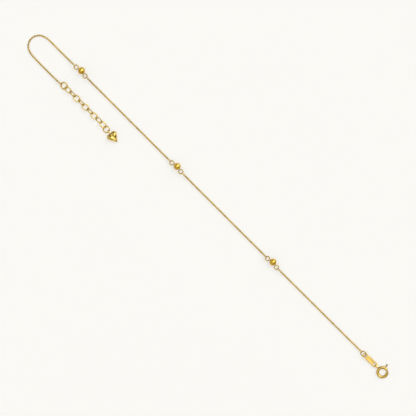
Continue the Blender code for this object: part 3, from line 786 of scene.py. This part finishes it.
def make_tag():
    """The bare plate with rounded edges and a round hole at both ends."""
    tip = (TAG_HOLE_SPACING + TAG_END_WIDTH) / 2
    shares = [math.cos(math.pi * step / TAG_POINTS) for step in range(TAG_POINTS + 1)]
    upper = [(tip * share, tag_half_width(tip * share)) for share in shares]
    outlines = [upper + [(x, -y) for x, y in reversed(upper[1:-1])]]
    for side in (-1, 1):
        hole = arc_line(TAG_HOLE_WIDTH / 2, 0, math.tau, HOLE_POINTS + 1, side * TAG_HOLE_SPACING / 2)
        outlines.append([(x, y) for x, y, _ in hole[:-1]])
    curve = bpy.data.curves.new("tag_plate", "CURVE")
    curve.dimensions = "2D"
    curve.fill_mode = "BOTH"
    curve.extrude = TAG_THICKNESS / 2 - TAG_EDGE
    curve.bevel_depth = TAG_EDGE
    curve.bevel_resolution = TAG_EDGE_STEPS
    curve.offset = -TAG_EDGE
    for outline in outlines:
        spline = curve.splines.new("POLY")
        spline.points.add(len(outline) - 1)
        for target, (x, y) in zip(spline.points, outline):
            target.co = (x, y, 0, 1)
        spline.use_cyclic_u = True
    drawn = bpy.data.objects.new("tag_drawn", curve)
    PIECES.objects.link(drawn)
    bpy.context.view_layer.update()
    mesh = bpy.data.meshes.new_from_object(drawn.evaluated_get(bpy.context.evaluated_depsgraph_get()))
    bpy.data.objects.remove(drawn, do_unlink=True)
    shape = bmesh.new()
    shape.from_mesh(mesh)
    bmesh.ops.remove_doubles(shape, verts=shape.verts, dist=TAG_MERGING)
    bmesh.ops.recalc_face_normals(shape, faces=shape.faces)
    shape.to_mesh(mesh)
    shape.free()
    mesh.transform(node_place("tag"))
    tag = bpy.data.objects.new("tag_plate", mesh)
    PIECES.objects.link(tag)
    smoothed(tag)
    return dressed(tag, "anklet", "clasp_gold", SHADED_TAG_GOLD, "tag")


# Clasp
def ring_tube(stations, sides):
    """A closed row of rims about the clasp's ring, each by its angle round it and its radius."""
    across = np.array([[math.cos(angle), math.sin(angle), 0.0] for angle, _ in stations])
    line = across * (CLASP_WIDTH - CLASP_TUBE) / 2
    radii = [radius for _, radius in stations]
    return rims(line, across, radii, sides), rim_faces(len(stations), sides, True)


def clasp_stations():
    """Along the outside of the C, round its lip, back along the bore and round the other lip."""
    lip = CLASP_WALL / 2
    wall_middle = CLASP_TUBE / 2 - lip
    lip_turn = lip / ((CLASP_WIDTH - CLASP_TUBE) / 2)
    start = CLASP_MOUTH_END + lip_turn
    end = CLASP_MOUTH_START + math.tau - lip_turn
    angles = np.linspace(start, end, CLASP_POINTS)
    lip_turns = np.linspace(math.pi / 2, -math.pi / 2, LIP_POINTS + 2)[1:-1]
    stations = [(angle, CLASP_TUBE / 2) for angle in angles]
    stations += [
        (end + lip_turn * math.cos(turn), wall_middle + lip * math.sin(turn)) for turn in lip_turns
    ]
    stations += [(angle, CLASP_TUBE / 2 - CLASP_WALL) for angle in angles[::-1]]
    stations += [
        (start - lip_turn * math.cos(turn), wall_middle + lip * math.sin(turn))
        for turn in lip_turns[::-1]
    ]
    return stations


def make_spring_ring(place):
    """The hollow C with its rounded lips and slot, and the eye soldered to it."""
    body = piece_from("spring_ring_tube", *ring_tube(clasp_stations(), CLASP_SIDES), place)
    slot_middle = CLASP_WIDTH / 2 - CLASP_WALL
    slot_line = arc_line(slot_middle, KNOB_ANGLE, KNOB_ANGLE + TRIGGER_TRAVEL, SLOT_POINTS)
    slot_radius = KNOB_NECK / 2 + SLOT_CLEARANCE
    slot = swept(*with_ends(slot_line, slot_radius, slot_radius), WIRE_SIDES, False)
    combined(body, piece_from("clasp_slot", *slot, place), "DIFFERENCE")
    eye_length = EYE_REACH + EYE_SINK
    eye_height = TAG_THICKNESS + 2 * (EYE_WIRE + EYE_CLEARANCE)
    eye_x = -CLASP_WIDTH / 2 + EYE_SINK - eye_length / 2
    eye_z = (eye_height - CLASP_TUBE) / 2
    eye_place = place @ Matrix.Translation((eye_x, 0, eye_z)) @ upright_band(EYE_BREADTH)
    eye_line, _ = loop_line(eye_length, eye_height, EYE_WIRE, RING_POINTS)
    eye = swept(eye_line, np.full(len(eye_line), EYE_WIRE / 2), WIRE_SIDES, True)
    combined(body, piece_from("clasp_eye", *eye, eye_place), "UNION")
    smoothed(body)
    return dressed(body, "anklet", "clasp_gold", CLASP_GOLD, "spring_ring")


def make_trigger(place):
    """The curved bolt with its neck and knob."""
    radius = (CLASP_WIDTH - CLASP_TUBE) / 2
    bolt_radius = CLASP_TUBE / 2 - CLASP_WALL - BOLT_CLEARANCE
    bolt_start = CLASP_MOUTH_START - BOLT_ENGAGEMENT
    bolt_line = arc_line(radius, bolt_start, KNOB_ANGLE + BOLT_TAIL, BOLT_POINTS)
    bolt = swept(*with_ends(bolt_line, bolt_radius, bolt_radius / 2), WIRE_SIDES, False)
    trigger = piece_from("trigger_bolt", *bolt, place)
    length = CLASP_WIDTH / 2 + KNOB_REACH - radius
    outward = np.array([math.cos(KNOB_ANGLE), math.sin(KNOB_ANGLE), 0])
    along = np.array([section["along"] for section in KNOB_PROFILE])
    radii = np.array([section["radius"] for section in KNOB_PROFILE]) * KNOB_NECK / 2
    line = outward * (radius + length * along[:, None])
    knob = swept(line, radii, WIRE_SIDES, False)
    combined(trigger, piece_from("trigger_knob", *knob, place), "UNION")
    smoothed(trigger)
    return dressed(trigger, "trigger", "clasp_gold", SHADED_WIRE_GOLD, "trigger")


# Heart
def heart_outline():
    """The heart's outline from its notch round to the notch, with the tip towards +X."""
    radius = HEART_LOBE_SHARE * HEART_WIDTH
    side = HEART_WIDTH / 2 - radius
    back = -HEART_LENGTH / 2 + radius
    tip = Vector((HEART_LENGTH / 2, 0))
    middle = Vector((back, side))
    to_tip = tip - middle
    leaves = math.atan2(to_tip.y, to_tip.x) + math.acos(radius / to_tip.length)
    meets = math.tau - math.acos(-math.sqrt(radius**2 - side**2) / radius)
    turns = np.linspace(meets, leaves, HEART_LOBE_POINTS)
    lobe = [middle + radius * Vector((math.cos(turn), math.sin(turn))) for turn in turns]
    side_shares = [step / (HEART_SIDE_POINTS + 1) for step in range(1, HEART_SIDE_POINTS + 1)]
    edge = lobe + [lobe[-1].lerp(tip, share) for share in side_shares]
    mirrored = [Vector((point.x, -point.y)) for point in reversed(edge[1:])]
    return [*edge, tip, *mirrored]


def heart_section(section, side):
    """One ring of corners: shift moves each corner towards the next, which makes the facets.

    The heart is fullest across its two lobes and falls away towards the notch and the tip.
    """
    outline = heart_outline()
    following = outline[1:] + outline[:1]
    height = side * section["height"] * HEART_THICKNESS / 2
    flat = [a.lerp(b, section["shift"]) * section["size"] for a, b in zip(outline, following)]
    widest = max(point.y for point in flat)
    falls = [HEART_VALLEY * section["height"] * (1 - abs(point.y) / widest) for point in flat]
    return [Vector((point.x, point.y, height * (1 - fall))) for point, fall in zip(flat, falls)]


def bridge(shape, ring, shifted):
    """Facets between a ring and one whose corners lie between its corners, or level with them."""
    for index, corner in enumerate(ring):
        ahead = (index + 1) % len(ring)
        shape.faces.new((corner, ring[ahead], shifted[index]))
        shape.faces.new((ring[ahead], shifted[ahead], shifted[index]))


def make_heart():
    """The cut heart with its bail soldered in the notch."""
    tip = max((vertex.co for vertex in frame["nodes"]["heart"].data.vertices), key=lambda at: at.x)
    place = Matrix.Translation((tip.x, tip.y, node_middle("heart").z))
    place = place @ Matrix.Rotation(HEART_YAW, 4, "Z") @ Matrix.Translation((-HEART_LENGTH / 2, 0, 0))
    shape = bmesh.new()
    stack = [(section, -1) for section in reversed(HEART_SECTIONS)]
    stack += [(section, 1) for section in HEART_SECTIONS]
    rings = [[shape.verts.new(place @ point) for point in heart_section(*level)] for level in stack]
    for ring, side in ((rings[0], -1), (rings[-1], 1)):
        middle = shape.verts.new(place @ Vector((0, 0, side * HEART_SEAM * HEART_THICKNESS / 2)))
        for corner, following in zip(ring, ring[1:] + ring[:1]):
            shape.faces.new((corner, following, middle))
    for lower, upper, (below, _), (above, _) in zip(rings, rings[1:], stack, stack[1:]):
        if below["shift"] <= above["shift"]:
            bridge(shape, lower, upper)
        else:
            bridge(shape, upper, lower)
    bmesh.ops.recalc_face_normals(shape, faces=shape.faces)
    mesh = bpy.data.meshes.new("heart_cut")
    shape.to_mesh(mesh)
    shape.free()
    heart = bpy.data.objects.new("heart_cut", mesh)
    PIECES.objects.link(heart)
    facets_kept(edged(heart, HEART_EDGE, HEART_EDGE_TURN))
    bail_x = heart_outline()[0].x + BAIL_SINK - BAIL_LENGTH / 2
    bail_place = place @ Matrix.Translation((bail_x, 0, 0)) @ upright_band(BAIL_BREADTH)
    bail_line, _ = loop_line(BAIL_LENGTH, BAIL_WIDTH, BAIL_WIRE, RING_POINTS)
    bail = swept(bail_line, np.full(len(bail_line), BAIL_WIRE / 2), WIRE_SIDES, True)
    combined(heart, piece_from("heart_bail", *bail, bail_place), "UNION")
    return dressed(heart, "anklet", "heart_gold", HEART_GOLD, "heart")


# Surface, light and camera
def make_floor():
    half = FLOOR_WIDTH / 2
    corners = [(-half, -half, 0), (half, -half, 0), (half, half, 0), (-half, half, 0)]
    floor = piece_from("floor", corners, [[0, 1, 2, 3]])
    material = bpy.data.materials.new("floor")
    material.use_nodes = True
    shader = material.node_tree.nodes["Principled BSDF"]
    shader.inputs["Base Color"].default_value = (*[FLOOR_ALBEDO * part for part in FLOOR_COLOUR], 1)
    shader.inputs["Roughness"].default_value = 1
    shader.inputs["Specular IOR Level"].default_value = 0
    shader.inputs["Emission Color"].default_value = (*FLOOR_COLOUR, 1)
    shader.inputs["Emission Strength"].default_value = FLOOR_GLOW
    floor.data.materials.append(material)


def make_sky():
    """An even studio with a few soft bright patches."""
    world = bpy.data.worlds.new("studio")
    bpy.context.scene.world = world
    world.use_nodes = True
    tree = world.node_tree
    background = tree.nodes["Background"]
    background.inputs["Color"].default_value = (1, 1, 1, 1)
    place = tree.nodes.new("ShaderNodeTexCoord")
    parts = tree.nodes.new("ShaderNodeSeparateXYZ")
    link_nodes(tree, place, "Generated", parts, "Vector")
    total = ranged(tree, parts, "Z", *SKY_RISE, SKY_LOW, SKY_HIGH)
    total.interpolation_type = "SMOOTHSTEP"
    output = "Result"
    for glow in GLOWS:
        facing = tree.nodes.new("ShaderNodeVectorMath")
        facing.operation = "DOT_PRODUCT"
        facing.inputs[1].default_value = Vector(glow["towards"]).normalized()
        link_nodes(tree, place, "Generated", facing, 0)
        edge = math.cos(math.radians(glow["width"] + glow["softness"]))
        core = math.cos(math.radians(glow["width"]))
        patch = ranged(tree, facing, "Value", edge, core, 0, glow["strength"])
        patch.interpolation_type = "SMOOTHSTEP"
        added = tree.nodes.new("ShaderNodeMath")
        link_nodes(tree, total, output, added, 0)
        link_nodes(tree, patch, "Result", added, 1)
        total = added
        output = "Value"
    link_nodes(tree, total, output, background, "Strength")


def make_sun():
    data = bpy.data.lights.new("key", "SUN")
    data.energy = SUN_STRENGTH
    data.angle = SUN_ANGLE
    sun = bpy.data.objects.new("key", data)
    sun.rotation_euler = Vector(SUN_TOWARDS).to_track_quat("Z", "Y").to_euler()
    bpy.context.scene.collection.objects.link(sun)


def make_camera():
    data = bpy.data.cameras.new("camera")
    data.lens = LENS
    data.sensor_width = SENSOR
    data.sensor_fit = "HORIZONTAL"
    data.clip_start = NEAREST_SHOWN
    data.clip_end = FARTHEST_SHOWN
    camera = bpy.data.objects.new("camera", data)
    camera.location = (*PHOTO_CENTRE, PHOTO_WIDTH * LENS / SENSOR)
    camera.rotation_euler = (0, 0, PHOTO_TURN)
    bpy.context.scene.collection.objects.link(camera)
    bpy.context.scene.camera = camera


def main():
    make_camera()
    make_rings()
    for number in range(1, BEAD_COUNT + 1):
        make_bead(number)
        make_pin(number)
    make_strands()
    make_tag()
    pivot = Matrix.Translation(frame["joints"][0]["pos_m"])
    make_spring_ring(pivot)
    make_trigger(pivot)
    make_heart()
    make_floor()
    make_sky()
    make_sun()
    bpy.context.scene.view_settings.view_transform = "Standard"


main()
